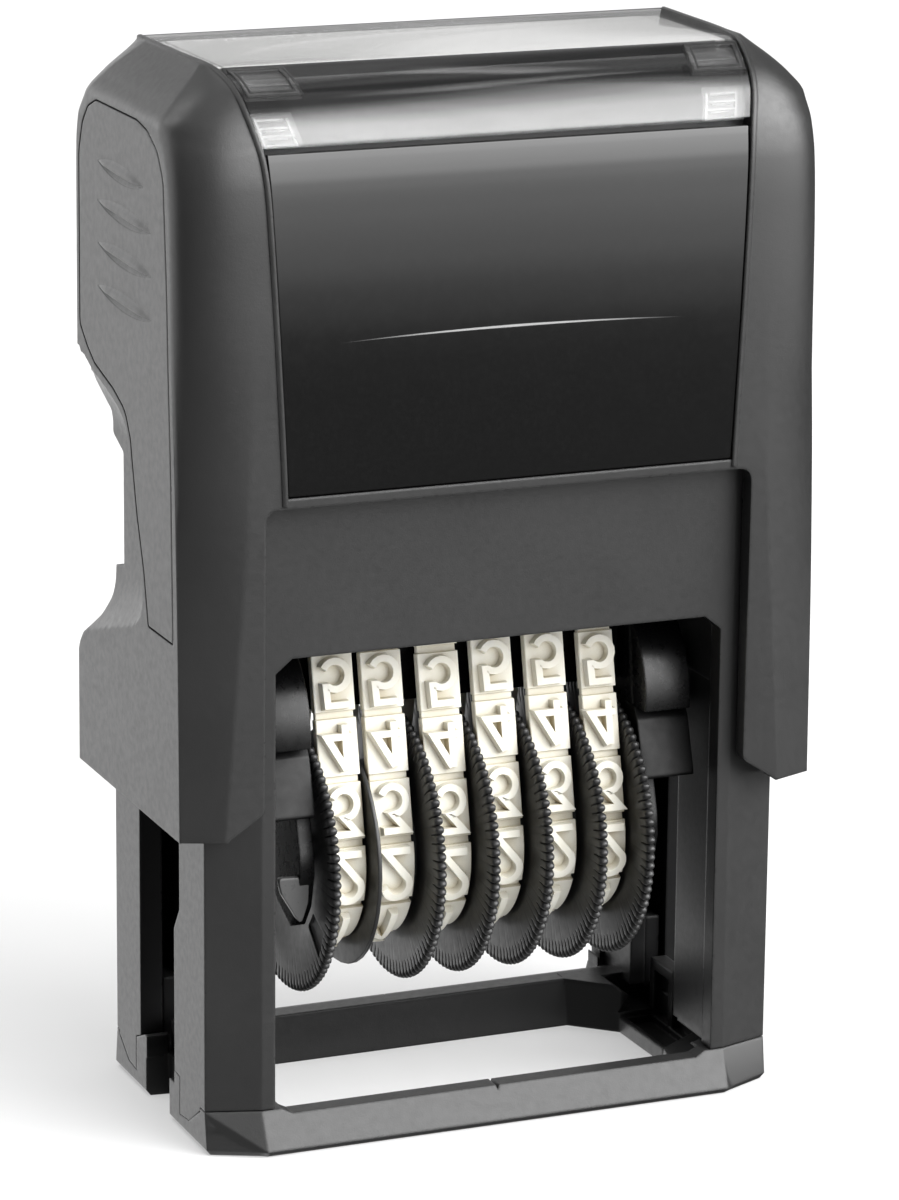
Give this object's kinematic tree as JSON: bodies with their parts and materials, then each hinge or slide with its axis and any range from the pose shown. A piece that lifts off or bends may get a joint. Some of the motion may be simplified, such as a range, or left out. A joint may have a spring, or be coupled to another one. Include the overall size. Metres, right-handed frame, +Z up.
{
  "type": "self-inking numbering stamp",
  "caption": "Self-inking rotary band stamp: a cap slides down a windowed frame, flips the print unit from ink pad to paper, and thumb wheels set ivory number bands.",
  "frame": {"origin": "centre of the foot ring, on the plane of its underside, which is the paper", "axes": "+Z up to the cap, -Y towards the user through the window, +X to the right seen from the front"},
  "size_m": [0.0532, 0.0269, 0.0839],
  "materials": {
    "anthracite_plastic": "fine spark-eroded grain, satin",
    "grip_plastic": "soft-touch matte",
    "gloss_label": "mirror gloss black",
    "card_white": "uncoated white card",
    "clear_plastic": "clear polished plastic",
    "dark_plastic": "smooth semi-matte black",
    "wheel_plastic": "satin black, knurled rim",
    "ivory_rubber": "matte moulded rubber",
    "ink_foam": "ink-soaked open foam",
    "spring_steel": "drawn steel"
  },
  "bodies": {
    "base": {"frame": "anthracite_plastic", "foot_frame": "anthracite_plastic", "return_spring": "spring_steel"},
    "cap": {"cap_housing": "anthracite_plastic", "grip_left": "grip_plastic", "grip_right": "grip_plastic", "front_label": "gloss_label", "index_card": "card_white"},
    "window": {"index_window": "clear_plastic"},
    "cartridge": {"ink_cartridge": "dark_plastic", "ink_pad": "ink_foam"},
    "print_unit": {"carrier": "dark_plastic", "pivot_pin_left": "spring_steel", "pivot_pin_right": "spring_steel", "wheel_axle": "spring_steel", "print_bridge": "dark_plastic", "separator_disc": "wheel_plastic", "number_band_1": "ivory_rubber", "number_band_2": "ivory_rubber", "number_band_3": "ivory_rubber", "number_band_4": "ivory_rubber", "number_band_5": "ivory_rubber", "number_band_6": "ivory_rubber"},
    "wheel_1": {"setting_wheel_1": "wheel_plastic"},
    "wheel_2": {"setting_wheel_2": "wheel_plastic"},
    "wheel_3": {"setting_wheel_3": "wheel_plastic"},
    "wheel_4": {"setting_wheel_4": "wheel_plastic"},
    "wheel_5": {"setting_wheel_5": "wheel_plastic"},
    "wheel_6": {"setting_wheel_6": "wheel_plastic"}
  },
  "joints": [
    {"name": "cap_press", "type": "slide", "parent": "base", "child": "cap", "axis": [0, 0, -1], "range_m": [0, 0.0205], "stiffness_N_per_m": 500, "springref_m": -0.012, "deforming": ["return_spring"]},
    {"name": "print_unit_turn", "type": "hinge", "parent": "cap", "child": "print_unit", "pos_m": [0, 0, 0.0315], "axis": [-1, 0, 0], "range_deg": [0, 180]},
    {"name": "wheel_1_turn", "type": "hinge", "parent": "print_unit", "child": "wheel_1", "pos_m": [0, 0, 0.0203], "axis": [1, 0, 0], "continuous": true},
    {"name": "wheel_2_turn", "type": "hinge", "parent": "print_unit", "child": "wheel_2", "pos_m": [0, 0, 0.0203], "axis": [1, 0, 0], "continuous": true},
    {"name": "wheel_3_turn", "type": "hinge", "parent": "print_unit", "child": "wheel_3", "pos_m": [0, 0, 0.0203], "axis": [1, 0, 0], "continuous": true},
    {"name": "wheel_4_turn", "type": "hinge", "parent": "print_unit", "child": "wheel_4", "pos_m": [0, 0, 0.0203], "axis": [1, 0, 0], "continuous": true},
    {"name": "wheel_5_turn", "type": "hinge", "parent": "print_unit", "child": "wheel_5", "pos_m": [0, 0, 0.0203], "axis": [1, 0, 0], "continuous": true},
    {"name": "wheel_6_turn", "type": "hinge", "parent": "print_unit", "child": "wheel_6", "pos_m": [0, 0, 0.0203], "axis": [1, 0, 0], "continuous": true},
    {"name": "cartridge_slide", "type": "slide", "parent": "base", "child": "cartridge", "axis": [0, -1, 0], "range_m": [-0.0215, 0]},
    {"name": "window_lift", "type": "slide", "parent": "cap", "child": "window", "axis": [0, 0, 1], "range_m": [0, 0.012]}
  ],
  "couplings": [
    {"joint": "print_unit_turn", "follows": "cap_press", "rad_per_m": 153.24}
  ]
}
